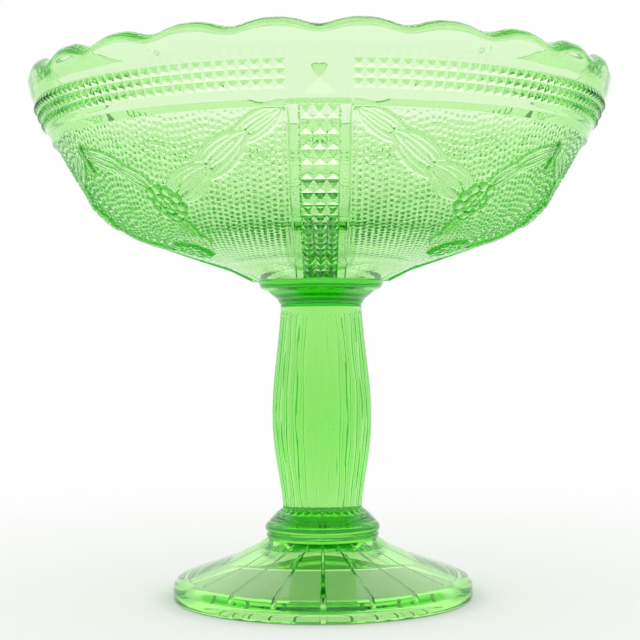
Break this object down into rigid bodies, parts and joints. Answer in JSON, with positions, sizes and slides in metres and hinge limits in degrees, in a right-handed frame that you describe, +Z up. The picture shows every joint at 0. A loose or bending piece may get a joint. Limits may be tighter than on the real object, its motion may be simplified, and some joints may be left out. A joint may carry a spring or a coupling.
{
  "type": "pressed glass pedestal dish",
  "caption": "Round pedestal dish of clear green pressed glass with a scalloped rim, a relief pattern outside, a reeded stem and a rayed foot.",
  "frame": {"origin": "centre of the foot ring, on the plane that the dish stands on", "axes": "+Z up along the stem, towards the bowl; -Y faces the first of the three ribs on the bowl"},
  "size_m": [0.1896, 0.1896, 0.171],
  "materials": {
    "bowl_glass": "clear polished yellow-green uranium glass, thin section, pale",
    "stem_glass": "clear polished yellow-green uranium glass, solid thick section, deep",
    "foot_glass": "clear polished yellow-green uranium glass, medium section"
  },
  "bodies": {
    "root": {"bowl": "bowl_glass", "wafer": "stem_glass", "stem": "stem_glass", "knop": "stem_glass", "foot": "foot_glass"}
  },
  "joints": []
}
